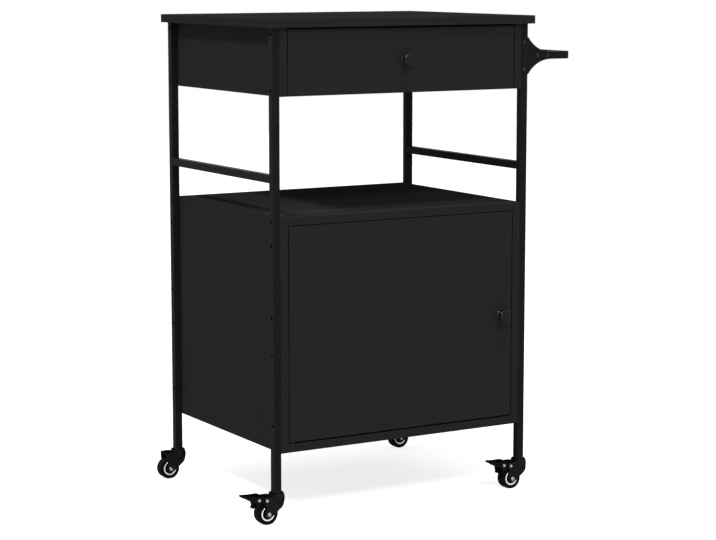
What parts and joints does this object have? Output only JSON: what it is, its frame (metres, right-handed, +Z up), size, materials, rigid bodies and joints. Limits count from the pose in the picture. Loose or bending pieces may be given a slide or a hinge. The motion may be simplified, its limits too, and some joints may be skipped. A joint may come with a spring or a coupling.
{
  "type": "microwave stand with drawer",
  "caption": "Rolling kitchen stand: tabletop over a drawer, open bay and door cabinet on a square-tube frame with side handle and braked swivel casters.",
  "frame": {"origin": "middle of the whole object's footprint, on the floor under the wheels", "axes": "+X to the handle side (right when facing the door), +Y to the back, +Z up"},
  "size_m": [0.7298, 0.4673, 0.935],
  "materials": {
    "black_steel": "semi-matt black powder coat",
    "black_board": "matt black melamine foil on particle board",
    "black_hardboard": "black painted hardboard",
    "zinc_steel": "bright zinc plate",
    "black_screws": "black zinc plate",
    "zinc_alloy": "cast zinc alloy",
    "runner_steel": "black epoxy coat",
    "white_nylon": "natural nylon",
    "knob_plastic": "satin black",
    "black_plastic": "matt black",
    "caster_plastic": "satin black moulding",
    "bright_steel": "bright plated",
    "wheel_rubber": "matt black tread",
    "bright_ring": "bright ring"
  },
  "bodies": {
    "cart": {"post_front_left": "black_steel", "post_front_right": "black_steel", "post_back_left": "black_steel", "post_back_right": "black_steel", "side_rail_left": "black_steel", "side_rail_right": "black_steel", "housing_side_left": "black_board", "housing_side_right": "black_board", "housing_back": "black_board", "cabinet_side_left": "black_board", "cabinet_side_right": "black_board", "tabletop": "black_board", "shelf_panel": "black_board", "cabinet_bottom": "black_board", "cabinet_back": "black_hardboard", "post_screws": "zinc_steel", "cam_locks": "zinc_alloy", "handle_bar": "black_steel", "handle_bracket_front": "black_steel", "handle_bracket_back": "black_steel", "handle_screws": "black_screws", "runner_rails": "runner_steel", "door_pivot_pins": "zinc_steel", "door_catch": "black_plastic", "caster_sockets": "black_plastic", "caster_stems": "zinc_steel"},
    "door": {"door_panel": "black_board", "door_knob": "knob_plastic", "door_strike_plate": "zinc_steel", "door_screws": "zinc_steel"},
    "drawer": {"drawer_front": "black_board", "drawer_side_left": "black_board", "drawer_side_right": "black_board", "drawer_back": "black_board", "drawer_bottom": "black_hardboard", "drawer_knob": "knob_plastic", "drawer_screws": "zinc_steel", "runner_sliders": "runner_steel"},
    "front_rollers": {"front_rollers": "white_nylon"},
    "rear_rollers": {"rear_rollers": "white_nylon"},
    "swivel_front_left": {"caster_fork_front_left": "caster_plastic", "caster_axle_front_left": "bright_steel"},
    "wheel_front_left": {"caster_wheel_front_left": "wheel_rubber", "wheel_rings_front_left": "bright_ring"},
    "brake_front_left": {"brake_lever_front_left": "caster_plastic", "brake_rivets_front_left": "bright_steel"},
    "swivel_front_right": {"caster_fork_front_right": "caster_plastic", "caster_axle_front_right": "bright_steel"},
    "wheel_front_right": {"caster_wheel_front_right": "wheel_rubber", "wheel_rings_front_right": "bright_ring"},
    "brake_front_right": {"brake_lever_front_right": "caster_plastic", "brake_rivets_front_right": "bright_steel"},
    "swivel_back_left": {"caster_fork_back_left": "caster_plastic", "caster_axle_back_left": "bright_steel"},
    "wheel_back_left": {"caster_wheel_back_left": "wheel_rubber", "wheel_rings_back_left": "bright_ring"},
    "swivel_back_right": {"caster_fork_back_right": "caster_plastic", "caster_axle_back_right": "bright_steel"},
    "wheel_back_right": {"caster_wheel_back_right": "wheel_rubber", "wheel_rings_back_right": "bright_ring"}
  },
  "joints": [
    {"name": "drawer_slide", "type": "slide", "parent": "cart", "child": "drawer", "axis": [0, -1, 0], "range_m": [0, 0.26]},
    {"name": "door_hinge", "type": "hinge", "parent": "cart", "child": "door", "pos_m": [-0.25415, -0.2065, 0.353], "axis": [0, 0, -1], "range_deg": [0, 110]},
    {"name": "front_roller_spin", "type": "hinge", "parent": "cart", "child": "front_rollers", "pos_m": [-0.01365, -0.1805, 0.8125], "axis": [1, 0, 0], "range_deg": [0, 1660]},
    {"name": "rear_roller_spin", "type": "hinge", "parent": "drawer", "child": "rear_rollers", "pos_m": [-0.01365, 0.1475, 0.8125], "axis": [1, 0, 0], "range_deg": [0, 1660]},
    {"name": "swivel_front_left", "type": "hinge", "parent": "cart", "child": "swivel_front_left", "pos_m": [-0.28765, -0.204, 0.059], "axis": [0, 0, 1], "continuous": true},
    {"name": "wheel_spin_front_left", "type": "hinge", "parent": "swivel_front_left", "child": "wheel_front_left", "pos_m": [-0.30995, -0.204, 0.021], "axis": [0, 1, 0], "continuous": true},
    {"name": "brake_front_left", "type": "hinge", "parent": "swivel_front_left", "child": "brake_front_left", "pos_m": [-0.31425, -0.204, 0.0474], "axis": [0, -1, 0], "range_deg": [0, 10]},
    {"name": "swivel_front_right", "type": "hinge", "parent": "cart", "child": "swivel_front_right", "pos_m": [0.26035, -0.204, 0.059], "axis": [0, 0, 1], "continuous": true},
    {"name": "wheel_spin_front_right", "type": "hinge", "parent": "swivel_front_right", "child": "wheel_front_right", "pos_m": [0.23805, -0.204, 0.021], "axis": [0, 1, 0], "continuous": true},
    {"name": "brake_front_right", "type": "hinge", "parent": "swivel_front_right", "child": "brake_front_right", "pos_m": [0.23375, -0.204, 0.0474], "axis": [0, -1, 0], "range_deg": [0, 10]},
    {"name": "swivel_back_left", "type": "hinge", "parent": "cart", "child": "swivel_back_left", "pos_m": [-0.28765, 0.216, 0.059], "axis": [0, 0, 1], "continuous": true},
    {"name": "wheel_spin_back_left", "type": "hinge", "parent": "swivel_back_left", "child": "wheel_back_left", "pos_m": [-0.30995, 0.216, 0.021], "axis": [0, 1, 0], "continuous": true},
    {"name": "swivel_back_right", "type": "hinge", "parent": "cart", "child": "swivel_back_right", "pos_m": [0.26035, 0.216, 0.059], "axis": [0, 0, 1], "continuous": true},
    {"name": "wheel_spin_back_right", "type": "hinge", "parent": "swivel_back_right", "child": "wheel_back_right", "pos_m": [0.23805, 0.216, 0.021], "axis": [0, 1, 0], "continuous": true}
  ],
  "couplings": [
    {"joint": "front_roller_spin", "follows": "drawer_slide", "rad_per_m": 111.11},
    {"joint": "rear_roller_spin", "follows": "drawer_slide", "rad_per_m": 111.11}
  ]
}
